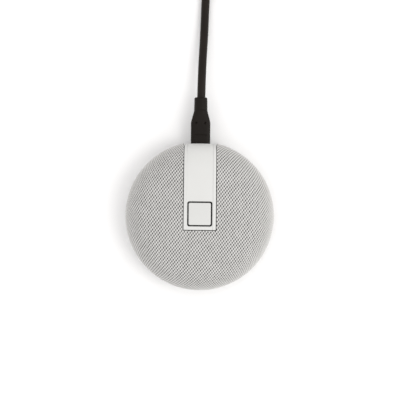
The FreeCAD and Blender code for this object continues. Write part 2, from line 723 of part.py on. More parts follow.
# ---- driver ----
def driver():
    keep("driver_gasket", ring("DriverGasket", "plate_opening + 0.1", "21.9",
                               ("plate_top", "flange_bottom")))
    half = both_sides("flange_half")
    flange = block("FlangePlate", half, half, ("flange_bottom", "flange_top"))
    opening = post("FlangeOpening", "17.6", ("20", "24"))
    bores = [post(f"DriverBore{i}", "1.1", ("20", "24"), x, y) for i, (x, y) in enumerate(DRIVER_CORNERS)]
    plate = cut("Flange", flange, opening, *bores)
    bowl = turned("BasketBowl", [("10.1", "15"), ("13.4", "15"), ("18.8", "21.6"), ("17.6", "21.6"),
                                 ("12.9", "16"), ("10.1", "16")])
    window = block("BasketWindow", ("12", "20"), both_sides("3"), ("16.6", "20.8"))
    windows = [turned_copy(f"BasketWindow{angle}", window, angle) for angle in range(0, 360, 60)]
    terminal = block("BasketTerminal", both_sides("3"), ("-16.4", "-13.6"), ("16.8", "18"))
    basket = cut("BasketOpen", bowl, *windows)
    keep("driver_basket", fuse("DriverBasket", plate, basket, terminal))
    keep("driver_yoke", turned("DriverYoke", [
        ("0", "yoke_bottom"), ("yoke_radius", "yoke_bottom"), ("yoke_radius", "yoke_top"),
        ("yoke_inner", "yoke_top"), ("yoke_inner", "yoke_bottom + 1.6"), ("0", "yoke_bottom + 1.6")]))
    keep("driver_magnet", post("DriverMagnet", "pole_radius - 0.2", ("yoke_bottom + 1.6", "14.6")))
    keep("driver_pole_plate", post("DriverPole", "pole_radius", ("14.6", "yoke_top")))
    keep("voice_coil", ring("VoiceCoil", "coil_inner", "coil_outer", ("13.5", "18.6")))
    keep("driver_spider", ring("DriverSpider", "coil_outer + 0.15", "13.2", ("16.9", "17.3")))
    keep("driver_cone", turned("DriverCone", [("coil_outer", "18.2"), ("15.4", "22.0"), ("15.4", "22.5"),
                                              ("coil_outer", "18.7")]))
    keep("driver_dust_cap", turned("DustCap", [("0", "19.7"), ("3.5", "19.7"), ("7.4", "18.7"),
                                               ("7.4", "19.1"), ("3.5", "20.1"), ("0", "20.1")]))
    keep("driver_surround", ring("DriverSurround", "15.55", "18.4", ("22.6", "22.95")))
    wires = [tube(f"Wire{side}", [(side * 1.6, -16.4, 17.4), (side * 1.7, -18.6, 16.6),
                                  (side * 1.9, -20.6, 14.4), (side * 2.0, -21.6, 11.4)], 1.0)
             for side in (-1, 1)]
    keep("driver_leads", group("DriverLeads", *wires))


# ---- lead ----
def tube(name, points, diameter):
    """A round tube along straight runs joined by tangent arcs."""
    points = [FreeCAD.Vector(*p) for p in points]
    edges = []
    last = points[0]
    radii = []
    for before, corner, after in zip(points, points[1:], points[2:]):
        one = (before - corner).normalize()
        two = (after - corner).normalize()
        half_turn = (math.pi - one.getAngle(two)) / 2
        reach = BEND_SHARE * min((before - corner).Length, (after - corner).Length)
        radius = reach / math.tan(half_turn)
        start = corner + one * reach
        end = corner + two * reach
        middle_line = (one + two).normalize()
        centre = corner + middle_line * math.hypot(radius, reach)
        edges.append(Part.LineSegment(last, start).toShape())
        edges.append(Part.Arc(start, centre - middle_line * radius, end).toShape())
        last = end
        radii.append(radius)
    edges.append(Part.LineSegment(last, points[-1]).toShape())
    path = Part.Wire(edges)
    length = path.Length
    circle = Part.Wire([Part.makeCircle(diameter / 2, points[0], points[1] - points[0])])
    solid = path.makePipeShell([circle], True, False)
    expected = math.pi * diameter**2 / 4 * length
    print(f"{name}: length {length:.1f}, volume {solid.Volume:.1f} of {expected:.1f}, "
          f"radii {[round(r, 1) for r in radii]}")
    feature = doc.addObject("Part::Feature", name)
    feature.Shape = solid
    return feature


def plug():
    outer = flat_bar("PlugShellOuter", "shell_half_width", "shell_half_height",
                     ("plug_face - insertion", "plug_face"))
    inner = flat_bar("PlugShellInner", "shell_half_width - 0.3", "shell_half_height - 0.3", ("30", "42.2"))
    keep("plug_shell", cut("PlugShell", outer, inner))
    half = "plug_width / 2"
    neck = "relief_width / 2"
    plan = padded("PlugPlan", "XY_Plane", [
        (f"-{half}", "plug_face"), (half, "plug_face"), (half, "plug_shoulder"), (neck, "relief_start"),
        (f"-{neck}", "relief_start"), (f"-{half}", "plug_shoulder")], "plug_depth", midplane=True)
    bind(plan, Placement__Base__z="port_height")
    section = flat_bar("PlugSection", half, "plug_depth / 2", ("plug_face", "relief_start"))
    keep("plug_overmold", common("PlugOvermold", plan, section))
    keep("plug_strain_relief", bar("PlugRelief", "relief_width / 2", ("relief_start", "relief_end"),
                                   z="port_height"))


def coil_centre():
    radius = value("coil_mean_radius + (coil_turns_across - 1) / 2 * cord_diameter")
    return value("coil_entry_x") + radius, value("coil_centre_y")


def lead():
    diameter = value("cord_diameter")
    keep("power_cord", tube("PowerCord", LEAD_ROUTE, diameter))
    x, y = coil_centre()
    half = "coil_turns_across * cord_diameter / 2"
    top = "coil_layers * cord_diameter"
    winding = ring("CoilRing", f"coil_mean_radius - {half}", f"coil_mean_radius + {half}", ("0", top))
    winding.Placement.Base = FreeCAD.Vector(x, y, 0)
    room = value("tie_thickness")
    near = x + value(f"coil_mean_radius - {half}")
    far = x + value(f"coil_mean_radius + {half}")
    tie_y = (f"{y} - tie_width / 2", f"{y} + tie_width / 2")
    outer = block("TieOuter", (f"{near} - {room}", f"{far} + {room}"), tie_y, ("0", f"{top} + {room}"))
    inner = block("TieInner", (f"{near} + {room}", f"{far} - {room}"), tie_y,
                  (f"{room}", f"{top} - {room}"))
    tie = cut("CoilTie", outer, inner)
    keep("coil_tie", tie)
    keep("cord_coil", cut("CordCoil", winding, tie))
    tail = [(x + r * math.cos(math.radians(a)), y + r * math.sin(math.radians(a)), z)
            for a, r, z in TAIL_ROUTE]
    end_x = x - value("far_plug_offset")
    end_y = y + TAIL_END_LEAD
    height = value("far_plug_height")
    keep("cord_tail", tube("CordTail", tail + [(end_x, end_y, height)], diameter))
    far_plug(end_x, end_y)


def far_plug(x, y):
    """A full-size USB-A plug with its overmold and strain relief."""
    z = "far_plug_height"
    relief_end, body_end, shell_end = y + 8, y + 27, y + 39
    keep("far_strain_relief", bar("FarRelief", "3.3", (str(y), str(relief_end)), str(x), z))
    body = block("FarBody", (f"{x} - 7.6", f"{x} + 7.6"), (str(relief_end), str(body_end)),
                 (f"{z} - 4", f"{z} + 4"))
    keep("far_plug_overmold", rounded("FarOvermold", body, "1.5", lambda edge: True))
    outer = block("FarShellOuter", (f"{x} - 6", f"{x} + 6"), (str(body_end), str(shell_end)),
                  (f"{z} - 2.25", f"{z} + 2.25"))
    inner = block("FarShellInner", (f"{x} - 5.7", f"{x} + 5.7"), (str(body_end), "300"),
                  (f"{z} - 1.95", f"{z} + 1.95"))
    keep("far_plug_shell", cut("FarShell", outer, inner))
    keep("far_plug_tongue", block("FarTongue", (f"{x} - 5.6", f"{x} + 5.6"),
                                  (str(body_end), f"{shell_end} - 0.6"), (f"{z} + 0.1", f"{z} + 1.9")))


cloth_cover()
grille_frame()
hem_ring()
strap_cover()
status_light_ring()
button_cap()
switch_parts()
base_pan()
screws()
base_parts()
mid_chassis()
main_board()
board_components()
usb_socket()
upper_board()
flex_link()
driver()
plug()
lead()
doc.recompute()

faults = [f"{o.Name}: {o.State}" for o in doc.Objects if {"Invalid", "Error"} & set(o.State)]
for node, feature in NODES.items():
    if feature.Shape.isNull() or not feature.Shape.isValid() or not feature.Shape.Solids:
        faults.append(f"{node} has no valid solid")
if faults:
    raise SystemExit("\n".join(faults))

os.makedirs("parts", exist_ok=True)
for node, feature in NODES.items():
    feature.Shape.exportStep(f"parts/{node}.step")
    solids = len(feature.Shape.Solids)
    print(f"{node}: {solids} solid{'s' if solids > 1 else ''}, {feature.Shape.Volume:.0f} mm3")
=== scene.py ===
import json
import math

import bmesh
import bpy
import numpy as np
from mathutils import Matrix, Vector


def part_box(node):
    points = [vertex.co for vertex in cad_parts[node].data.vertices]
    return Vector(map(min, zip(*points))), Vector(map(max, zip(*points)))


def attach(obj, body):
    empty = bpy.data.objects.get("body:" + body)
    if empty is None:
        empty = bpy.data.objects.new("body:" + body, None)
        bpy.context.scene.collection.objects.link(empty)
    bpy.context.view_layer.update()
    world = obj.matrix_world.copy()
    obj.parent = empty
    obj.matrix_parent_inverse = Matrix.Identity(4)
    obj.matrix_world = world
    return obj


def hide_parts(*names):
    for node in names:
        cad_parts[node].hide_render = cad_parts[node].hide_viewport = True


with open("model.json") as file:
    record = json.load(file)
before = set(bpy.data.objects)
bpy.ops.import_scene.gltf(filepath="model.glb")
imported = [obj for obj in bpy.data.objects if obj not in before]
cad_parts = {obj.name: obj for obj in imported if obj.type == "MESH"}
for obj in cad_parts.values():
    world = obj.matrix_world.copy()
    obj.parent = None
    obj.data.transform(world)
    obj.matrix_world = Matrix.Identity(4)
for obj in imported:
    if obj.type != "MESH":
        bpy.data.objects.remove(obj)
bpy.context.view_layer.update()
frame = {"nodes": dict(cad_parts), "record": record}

# The object's lengths are in millimetres until a mesh, curve or camera is made, then in metres.
MM = 0.001


def node_box(node):
    """A CAD node's lowest and highest corners in millimetres."""
    low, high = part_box(node)
    return low / MM, high / MM


cover_low, cover_high = node_box("fabric_cover")
strap_low, strap_high = node_box("strap_cover")
plug_low, plug_high = node_box("plug_overmold")
relief_low, relief_high = node_box("plug_strain_relief")
coil_low, coil_high = node_box("cord_coil")
tie_low, tie_high = node_box("coil_tie")
far_relief_low, far_relief_high = node_box("far_strain_relief")

# ---- camera, light and floor ----
# What the picture takes in from side to side at the height where the puck is widest.
FRAME_WIDTH = 242.9
WIDEST_HEIGHT = 12.0
CAMERA_CENTRE = (0.09, 9.62)
CAMERA_DISTANCE = 900.0
CAMERA_ROLL = math.radians(0.6)
SENSOR_WIDTH = 36.0
# The floor's half side in metres.
FLOOR_HALF = 3.0


def camera():
    """Straight above, through a long lens, rolled a little as the photographer held it."""
    data = bpy.data.cameras.new("camera")
    data.sensor_width = SENSOR_WIDTH
    data.lens = SENSOR_WIDTH * CAMERA_DISTANCE / FRAME_WIDTH
    data.clip_start = 0.01
    data.clip_end = 20.0
    eye = bpy.data.objects.new("camera", data)
    eye.location = Vector((*CAMERA_CENTRE, WIDEST_HEIGHT + CAMERA_DISTANCE)) * MM
    eye.rotation_euler = (0.0, 0.0, CAMERA_ROLL)
    bpy.context.scene.collection.objects.link(eye)
    bpy.context.scene.camera = eye


def round_lamp(name, place, size, power, colour):
    """A soft round lamp aimed at the puck. Its place and size are in metres."""
    data = bpy.data.lights.new(name, "AREA")
    data.shape = "DISK"
    data.size = size
    data.energy = power
    data.color = colour
    lamp = bpy.data.objects.new(name, data)
    lamp.location = place
    lamp.rotation_euler = (-Vector(place)).to_track_quat("-Z", "Y").to_euler()
    bpy.context.scene.collection.objects.link(lamp)


def studio():
    """A wide white room, a lamp high on the right and a weaker one low on the right."""
    world = bpy.data.worlds.new("studio")
    bpy.context.scene.world = world
    world.use_nodes = True
    background = world.node_tree.nodes["Background"]
    background.inputs["Color"].default_value = (1.0, 0.987, 0.985, 1.0)
    background.inputs["Strength"].default_value = 1.13
    round_lamp("side", place=(1.2, -0.15, 0.32), size=0.7, power=2.3, colour=(1.0, 0.985, 0.97))
    round_lamp("key", place=(0.72, -0.22, 1.25), size=0.7, power=4.4, colour=(1.0, 1.0, 0.975))
    bpy.context.scene.view_settings.view_transform = "Standard"


def floor():
    """White paper under everything."""
    mesh = bpy.data.meshes.new("floor")
    corners = [(-FLOOR_HALF, -FLOOR_HALF, 0), (FLOOR_HALF, -FLOOR_HALF, 0),
               (FLOOR_HALF, FLOOR_HALF, 0), (-FLOOR_HALF, FLOOR_HALF, 0)]
    mesh.from_pydata(corners, [], [(0, 1, 2, 3)])
    plane = bpy.data.objects.new("floor", mesh)
    bpy.context.scene.collection.objects.link(plane)
    paint = bpy.data.materials.new("floor_paper")
    paint.use_nodes = True
    shader = paint.node_tree.nodes["Principled BSDF"]
    shader.inputs["Base Color"].default_value = (0.9, 0.9, 0.9, 1.0)
    shader.inputs["Roughness"].default_value = 0.9
    shader.inputs["Specular IOR Level"].default_value = 0.2
    mesh.materials.append(paint)


# ---- materials ----
class Nodes:
    """Short names for building a material's node tree."""

    def __init__(self, name):
        self.material = bpy.data.materials.new(name)
        self.material.use_nodes = True
        self.tree = self.material.node_tree
        self.shader = self.tree.nodes["Principled BSDF"]
        self.place = self.tree.nodes.new("ShaderNodeTexCoord").outputs["Object"]

    def link(self, source, target):
        self.tree.links.new(source, target)

    def add(self, kind, **settings):
        node = self.tree.nodes.new(kind)
        for key, setting in settings.items():
            setattr(node, key, setting)
        return node

    def noise(self, scale, detail=2.0, rough=0.5, place=None):
        node = self.add("ShaderNodeTexNoise")
        self.link(place or self.place, node.inputs["Vector"])
        node.inputs["Scale"].default_value = scale
        node.inputs["Detail"].default_value = detail
        node.inputs["Roughness"].default_value = rough
        return node.outputs["Fac"]

    def ramp(self, factor, low, high, start=0.3, end=0.7):
        """Blend from one colour to another as the factor goes from start to end."""
        node = self.add("ShaderNodeValToRGB")
        node.color_ramp.elements[0].position = start
        node.color_ramp.elements[1].position = end
        node.color_ramp.elements[0].color = (*low, 1.0)
        node.color_ramp.elements[1].color = (*high, 1.0)
        self.link(factor, node.inputs["Fac"])
        return node.outputs["Color"]

    def spread(self, factor, low, high):
        """Map the middle of a factor's range onto another range."""
        node = self.add("ShaderNodeMapRange")
        node.inputs["From Min"].default_value = 0.3
        node.inputs["From Max"].default_value = 0.7
        node.inputs["To Min"].default_value = low
        node.inputs["To Max"].default_value = high
        self.link(factor, node.inputs["Value"])
        return node.outputs["Result"]

    def multiply(self, one, other):
        """The product of a socket and another socket or a number."""
        node = self.add("ShaderNodeMath", operation="MULTIPLY")
        self.link(one, node.inputs[0])
        if isinstance(other, float):
            node.inputs[1].default_value = other
        else:
            self.link(other, node.inputs[1])
        return node.outputs[0]

    def sum(self, one, other):
        node = self.add("ShaderNodeMath", operation="ADD")
        self.link(one, node.inputs[0])
        self.link(other, node.inputs[1])
        return node.outputs[0]

    def bump(self, height, distance):
        """Raise the surface by up to a distance in millimetres."""
        node = self.add("ShaderNodeBump")
        node.inputs["Distance"].default_value = distance * MM
        self.link(height, node.inputs["Height"])
        self.link(node.outputs["Normal"], self.shader.inputs["Normal"])


def tinted(colour, share):
    """A colour made lighter by a share, or darker if the share is negative."""
    return tuple(min(1.0, part * (1.0 + share)) for part in colour)


def surface(name, colour, rough, metallic=0.0, drift=0.05, rough_drift=0.06, grain=2200.0, grain_depth=0.012,
            cloud=60.0, specular=0.5, coat=0.0):
    """A moulded, painted or metal finish: slow colour drift, uneven roughness and a fine grain."""
    nodes = Nodes(name)
    shader = nodes.shader
    clouds = nodes.noise(cloud, 3.0)
    fine = nodes.noise(grain, 2.0, 0.6)
    drifting = nodes.ramp(clouds, tinted(colour, -drift), tinted(colour, drift))
    nodes.link(drifting, shader.inputs["Base Color"])
    nodes.link(nodes.spread(fine, rough - rough_drift, rough + rough_drift), shader.inputs["Roughness"])
    nodes.bump(fine, grain_depth)
    shader.inputs["Metallic"].default_value = metallic
    shader.inputs["Specular IOR Level"].default_value = specular
    shader.inputs["Coat Weight"].default_value = coat
    return nodes.material


def brushed(name, colour, rough):
    """Sheet metal with fine lines along Y."""
    nodes = Nodes(name)
    stretch = nodes.add("ShaderNodeMapping")
    stretch.inputs["Scale"].default_value = (1.0, 0.04, 1.0)
    nodes.link(nodes.place, stretch.inputs["Vector"])
    lines = nodes.noise(6000.0, 2.0, 0.6, stretch.outputs["Vector"])
    shader = nodes.shader
    nodes.link(nodes.ramp(lines, tinted(colour, -0.12), tinted(colour, 0.08)), shader.inputs["Base Color"])
    nodes.link(nodes.spread(lines, rough - 0.08, rough + 0.1), shader.inputs["Roughness"])
    nodes.bump(lines, 0.004)
    shader.inputs["Metallic"].default_value = 1.0
    return nodes.material


KNIT_YARN = (0.715, 0.710, 0.695)
# The dark backing seen through the holes. The same colour is also used as painted shade on the strip turned
# down beside the strap.
KNIT_HOLE_AND_GAP_SHADE = (0.015, 0.015, 0.015)


def knit_material():
    """Knitted mesh: bright yarn over a dark backing, with fibres along the yarn. The same near-black is also
    painted shade on the strip turned down into the strap's gap.
    """
    nodes = Nodes("knit")
    shader = nodes.shader
    yarn = nodes.add("ShaderNodeAttribute", attribute_name="yarn").outputs["Fac"]
    fibres = nodes.noise(5200.0, 3.0, 0.65)
    clouds = nodes.noise(110.0, 2.0)
    lively = nodes.sum(yarn, nodes.spread(fibres, -0.10, 0.10))
    colour = nodes.ramp(lively, KNIT_HOLE_AND_GAP_SHADE, KNIT_YARN, 0.20, 0.97)
    tint = nodes.add("ShaderNodeMix", data_type="RGBA", blend_type="MULTIPLY")
    tint.inputs["Factor"].default_value = 1.0
    nodes.link(colour, tint.inputs["A"])
    nodes.link(nodes.ramp(clouds, (0.95, 0.95, 0.945), (1.0, 1.0, 1.0)), tint.inputs["B"])
    nodes.link(tint.outputs["Result"], shader.inputs["Base Color"])
    nodes.link(nodes.spread(fibres, 0.78, 0.95), shader.inputs["Roughness"])
    nodes.bump(fibres, 0.05)
    shader.inputs["Specular IOR Level"].default_value = 0.25
    shader.inputs["Sheen Weight"].default_value = 0.15
    shader.inputs["Sheen Roughness"].default_value = 0.5
    return nodes.material


# The strap's raised border starts this far from its middle line.
STRAP_BORDER = 7.8
STRAP_BORDER_STEP = 0.5
STRAP_BORDER_RISE = 0.25


def strap_material(white):
    """Satin plastic whose middle is a shallow panel between two raised borders."""
    nodes = Nodes("strap_plastic")
    shader = nodes.shader
    fine = nodes.noise(2600.0, 2.0, 0.6)
    clouds = nodes.noise(60.0, 3.0)
    split = nodes.add("ShaderNodeSeparateXYZ")
    nodes.link(nodes.place, split.inputs["Vector"])
    from_middle = nodes.add("ShaderNodeMath", operation="ABSOLUTE")
    nodes.link(split.outputs["X"], from_middle.inputs[0])
    border = nodes.add("ShaderNodeMapRange", interpolation_type="SMOOTHSTEP")
    border.inputs["From Min"].default_value = (STRAP_BORDER - STRAP_BORDER_STEP / 2) * MM
    border.inputs["From Max"].default_value = (STRAP_BORDER + STRAP_BORDER_STEP / 2) * MM
    nodes.link(from_middle.outputs[0], border.inputs["Value"])
    nodes.link(nodes.ramp(clouds, tinted(white, -0.015), tinted(white, 0.015)), shader.inputs["Base Color"])
    nodes.link(nodes.spread(fine, 0.42, 0.54), shader.inputs["Roughness"])
    nodes.bump(nodes.sum(nodes.multiply(fine, 0.1), border.outputs["Result"]), STRAP_BORDER_RISE)
    return nodes.material


# The length in metres of one of the wave texture's waves at a scale of 1.
WAVE_LENGTH = 0.314


def woven_material(name, dark, light, pitch):
    """Short cloth loops or a plain weave, from two crossed waves."""
    nodes = Nodes(name)
    waves = []
    for direction in ("X", "Y"):
        wave = nodes.add("ShaderNodeTexWave", wave_type="BANDS", bands_direction=direction)
        wave.inputs["Scale"].default_value = WAVE_LENGTH / (pitch * MM)
        wave.inputs["Distortion"].default_value = 0.6
        nodes.link(nodes.place, wave.inputs["Vector"])
        waves.append(wave.outputs["Fac"])
    weave = nodes.multiply(*waves)
    nodes.link(nodes.ramp(weave, dark, light, 0.1, 0.8), nodes.shader.inputs["Base Color"])
    nodes.link(nodes.spread(weave, 0.95, 0.8), nodes.shader.inputs["Roughness"])
    nodes.bump(weave, 0.12)
    nodes.shader.inputs["Sheen Weight"].default_value = 0.3
    return nodes.material


def make_materials():
    """One material for each of the record's slots."""
    white = (0.603, 0.606, 0.592)
    return {
        "cover_fabric": knit_material(),
        "strap_plastic": strap_material(white),
        "button_plastic": surface("button_plastic", tinted(white, -0.045), 0.46, drift=0.015, grain=2600.0,
                                  grain_depth=0.02),
        "smoked_plastic": surface("smoked_plastic", (0.003, 0.003, 0.003), 0.4, specular=0.08),
        "base_plastic": surface("base_plastic", (0.56, 0.56, 0.55), 0.55, drift=0.03),
        "black_plastic": surface("black_plastic", (0.012, 0.012, 0.012), 0.65),
        "chassis_plastic": surface("chassis_plastic", (0.03, 0.03, 0.032), 0.6),
        "foot_rubber": surface("foot_rubber", (0.045, 0.045, 0.047), 0.85, drift=0.12, grain=900.0,
                               grain_depth=0.05, specular=0.3),
        "gasket_rubber": surface("gasket_rubber", (0.02, 0.02, 0.02), 0.9, grain=1500.0, grain_depth=0.06),
        "surround_rubber": surface("surround_rubber", (0.015, 0.015, 0.016), 0.5),
        "screw_steel": brushed("screw_steel", (0.50, 0.50, 0.52), 0.35),
        "ballast_steel": brushed("ballast_steel", (0.45, 0.45, 0.45), 0.45),
        "basket_metal": surface("basket_metal", (0.05, 0.05, 0.055), 0.4, metallic=0.8),
        "magnet_nickel": surface("magnet_nickel", (0.62, 0.60, 0.56), 0.2, metallic=1.0, grain_depth=0.003),
        "shield_metal": brushed("shield_metal", (0.62, 0.62, 0.60), 0.3),
        "plug_steel": brushed("plug_steel", (0.60, 0.60, 0.60), 0.28),
        "coil_copper": surface("coil_copper", (0.62, 0.26, 0.12), 0.35, metallic=0.9, grain=4000.0),
        "board_laminate": surface("board_laminate", (0.008, 0.09, 0.035), 0.35, drift=0.15, coat=0.4),
        "chip_epoxy": surface("chip_epoxy", (0.02, 0.02, 0.022), 0.55),
        "connector_plastic": surface("connector_plastic", (0.62, 0.59, 0.50), 0.5),
        "capacitor_aluminium": brushed("capacitor_aluminium", (0.70, 0.70, 0.71), 0.3),
        "led_lens": surface("led_lens", (0.80, 0.75, 0.55), 0.2, coat=0.5),
        "flex_film": surface("flex_film", (0.30, 0.10, 0.012), 0.3, coat=0.4),
        "wire_insulation": surface("wire_insulation", (0.25, 0.01, 0.01), 0.4),
        "spider_cloth": woven_material("spider_cloth", (0.16, 0.09, 0.02), (0.42, 0.26, 0.07), 0.4),
        "cone_paper": surface("cone_paper", (0.015, 0.015, 0.015), 0.8, drift=0.25, grain=1800.0,
                              grain_depth=0.05),
        "plug_plastic": surface("plug_plastic", (0.0078, 0.0056, 0.0040), 0.42, drift=0.12, grain=2400.0,
                                grain_depth=0.03, specular=0.13),
        "cord_jacket": surface("cord_jacket", (0.0110, 0.0078, 0.006), 0.38, drift=0.15, grain=1800.0,
                               grain_depth=0.02, specular=0.13),
        "tie_fabric": woven_material("tie_fabric", (0.004, 0.004, 0.004), (0.035, 0.035, 0.037), 0.5),
    }


# ---- building pieces ----
def new_piece(name, vertices, faces, slot, body):
    """A mesh in millimetres, made into a smooth piece in metres that rides on a body."""
    mesh = bpy.data.meshes.new(name)
    mesh.from_pydata([Vector(v) * MM for v in vertices], [], faces)
    mesh.update()
    mesh.shade_smooth()
    piece = bpy.data.objects.new(name, mesh)
    bpy.context.scene.collection.objects.link(piece)
    finish_piece(piece, slot, body)
    return piece


def finish_piece(piece, slot, body):
    piece.data.materials.append(MATERIALS[slot])
    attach(piece, body)


def between(start, end, share):
    return start + (end - start) * share


def smooth_step(share):
    share = min(1.0, max(0.0, share))
    return share * share * (3 - 2 * share)


# ---- the lead ----
CORD_DIAMETER = 5.0
# The route from the plug to the coil, as in the CAD model.
LEAD_ROUTE = [
    (0.2, 72.0, 10.4),
    (0.4, 85.0, 10.0),
    (1.0, 99.0, 6.9),
    (1.7, 113.5, 3.4),
    (2.1, 129.0, 2.55),
    (2.9, 145.0, 2.5),
    (3.0, 163.0, 2.5),
]
# The end that climbs off the coil to the far plug, as in the CAD model:
# degrees round the coil, distance from its centre and height.
TAIL_ROUTE = [
    (-82.0, 29.3, 10.1),
    (-102.0, 28.2, 12.0),
    (-122.0, 26.6, 13.1),
    (-145.0, 24.6, 13.9),
    (-168.0, 22.5, 14.1),
]
COIL_TURNS = 6.62
POINTS_PER_TURN = 18
# The route's own points take the place of the coil's first two.
FIRST_COIL_POINT = 2
TURNS_ACROSS = 4
# The cord rides over the tie's tape, which lies on the coil's right side.
TIE_LIFT = 0.8
TIE_REACH = math.radians(22.0)


def round_coil(angle, radius):
    """The X and Y of a point round the coil's centre."""
    centre = (coil_low + coil_high) / 2
    return centre.x + radius * math.cos(angle), centre.y + radius * math.sin(angle)


def coil_points():
    """Turns wound inwards on the floor, one turn that climbs, then outwards on top."""
    outer = (coil_high.x - coil_low.x) / 2 - CORD_DIAMETER / 2
    inwards = TURNS_ACROSS - 1
    points = []
    for step in range(FIRST_COIL_POINT, int(COIL_TURNS * POINTS_PER_TURN)):
        turn = step / POINTS_PER_TURN
        angle = math.pi - 2 * math.pi * turn
        if turn <= inwards:
            radius = outer - CORD_DIAMETER * turn
            height = 0.0
        elif turn <= inwards + 1:
            radius = outer - CORD_DIAMETER * inwards
            height = CORD_DIAMETER * (turn - inwards)
        else:
            radius = outer - CORD_DIAMETER * (2 * inwards + 1 - turn)
            height = CORD_DIAMETER
        from_tie = abs(math.atan2(math.sin(angle), math.cos(angle)))
        lift = TIE_LIFT * math.exp(-(from_tie / TIE_REACH) ** 2)
        points.append((*round_coil(angle, radius), CORD_DIAMETER / 2 + height + lift))
    return points


def lead_cord():
    """The whole lead as one smooth curve, from the plug through the coil to the far plug."""
    far_end = (far_relief_low + far_relief_high) / 2
    tail = [(*round_coil(math.radians(degrees), radius), height) for degrees, radius, height in TAIL_ROUTE]
    points = LEAD_ROUTE + coil_points() + tail + [(far_end.x, far_relief_low.y, far_end.z)]
    curve = bpy.data.curves.new("lead_cord", "CURVE")
    curve.dimensions = "3D"
    spline = curve.splines.new("NURBS")
    spline.points.add(len(points) - 1)
    for point, place in zip(spline.points, points):
        point.co = (*(Vector(place) * MM), 1.0)
    spline.order_u = 3
    spline.use_endpoint_u = True
    spline.resolution_u = 5
    curve.bevel_depth = CORD_DIAMETER / 2 * MM
    curve.bevel_resolution = 5
    curve.use_fill_caps = True
    cord = bpy.data.objects.new("lead_cord", curve)
    bpy.context.scene.collection.objects.link(cord)
    finish_piece(cord, "cord_jacket", "power_lead")
    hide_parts("power_cord", "cord_coil", "cord_tail")


# Two ejector dimples and a shallow cross groove on the plug's upper face.
DIMPLES = [(-2.7, 56.4), (2.7, 56.4)]
DIMPLE_RADIUS = 0.52
DIMPLE_DEPTH = 0.8
GROOVE_Y = 49.1
GROOVE_HALF = 4.2
GROOVE_DEPTH = 0.3
GROOVE_WIDTH = 0.3
GROOVE_FADE = 0.5
# The plug's overmould keeps its full width up to the shoulder, then narrows to the neck.
SHOULDER_Y = 56.7
TAPER_CURVE = 0.15
FACE_ROUND = 0.55
FACE_STEPS = 5
BODY_STEPS = 110
BODY_AROUND = 192
# The neck is a little deeper at its start than at its end, and its end is rounded.
NECK_DEPTH = 0.93
NECK_END_WIDTH = 0.965
NECK_END_DEPTH = 0.9
NECK_ROUND = 0.9
NECK_STEPS = 8
NECK_ROUND_STEPS = 6
NECK_AROUND = 64
# Powers of the section's outline: 2 is an ellipse, and more is closer to a rectangle.
BODY_POWER = 5.0
NECK_POWER = 2.6
NECK_END_POWER = 2.1


def plug_marks(x, y):
    """How far the plug's upper face is sunk at a point."""
    dimples = sum(DIMPLE_DEPTH * math.exp(-((math.hypot(x - dx, y - dy) / DIMPLE_RADIUS) ** 4))
                  for dx, dy in DIMPLES)
    across = smooth_step((GROOVE_HALF - abs(x)) / GROOVE_FADE)
    return dimples + GROOVE_DEPTH * across * math.exp(-(((y - GROOVE_Y) / GROOVE_WIDTH) ** 2))


def lofted(name, stations, around, marks=None):
    """A closed piece of the plug along Y. Each station is (y, half width, half height, power)."""
    centre_z = (plug_low.z + plug_high.z) / 2
    vertices = []
    for y, half_width, half_height, power in stations:
        for k in range(around):
            angle = 2 * math.pi * k / around
            c, s = math.cos(angle), math.sin(angle)
            x = half_width * math.copysign(abs(c) ** (2 / power), c)
            z = half_height * math.copysign(abs(s) ** (2 / power), s)
            sink = marks(x, y) if marks and s > 0 else 0.0
            vertices.append((x, y, centre_z + z - sink))
    faces = []
    for i in range(len(stations) - 1):
        for k in range(around):
            a = i * around + k
            b = i * around + (k + 1) % around
            faces.append((a + around, b + around, b, a))
    last = (len(stations) - 1) * around
    faces.append(tuple(range(around)))
    faces.append(tuple(range(last + around - 1, last - 1, -1)))
    return new_piece(name, vertices, faces, "plug_plastic", "power_lead")


def plug_body():
    """The plug's overmould: flat and wide, with a rounded front, narrowing to the neck."""
    half_width = (plug_high.x - plug_low.x) / 2
    half_height = (plug_high.z - plug_low.z) / 2
    neck = (relief_high.x - relief_low.x) / 2
    start = plug_low.y
    end = plug_high.y
    stations = []
    for k in range(FACE_STEPS + 1):
        angle = math.pi / 2 * k / FACE_STEPS
        inset = FACE_ROUND * (1 - math.sin(angle))
        y = start + FACE_ROUND * (1 - math.cos(angle))
        stations.append((y, half_width - inset, half_height - inset, BODY_POWER))
    for k in range(1, BODY_STEPS + 1):
        y = between(start + FACE_ROUND, end, k / BODY_STEPS)
        taper = (y - SHOULDER_Y) / (end - SHOULDER_Y)
        eased = smooth_step(taper)
        narrow = 0.0 if taper <= 0 else (1 - TAPER_CURVE) * taper + TAPER_CURVE * eased
        stations.append((y, between(half_width, neck, narrow),
                         between(half_height, neck * NECK_DEPTH, eased),
                         between(BODY_POWER, NECK_POWER, eased)))
    body = lofted("plug_overmold_body", stations, BODY_AROUND, plug_marks)
    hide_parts("plug_overmold")
    return body


def plug_neck():
    """The strain relief behind the overmould, which ends in a rounded edge."""
    neck = (relief_high.x - relief_low.x) / 2
    start = relief_low.y
    end = relief_high.y - NECK_ROUND
    stations = []
    for k in range(NECK_STEPS + 1):
        share = k / NECK_STEPS
        stations.append((between(start, end, share), neck * between(1.0, NECK_END_WIDTH, share),
                         neck * between(NECK_DEPTH, NECK_END_DEPTH, share),
                         between(NECK_POWER, NECK_END_POWER, share)))
    for k in range(1, NECK_ROUND_STEPS + 1):
        angle = math.pi / 2 * k / NECK_ROUND_STEPS
        inset = NECK_ROUND * (1 - math.cos(angle))
        stations.append((end + NECK_ROUND * math.sin(angle), neck * NECK_END_WIDTH - inset,
                         neck * NECK_END_DEPTH - inset, NECK_END_POWER))
    piece = lofted("plug_neck", stations, NECK_AROUND)
    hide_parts("plug_strain_relief")
    return piece


TAPE_THICKNESS = 0.8
TAPE_CORNER = 2.2
TAPE_CORNER_STEPS = 6
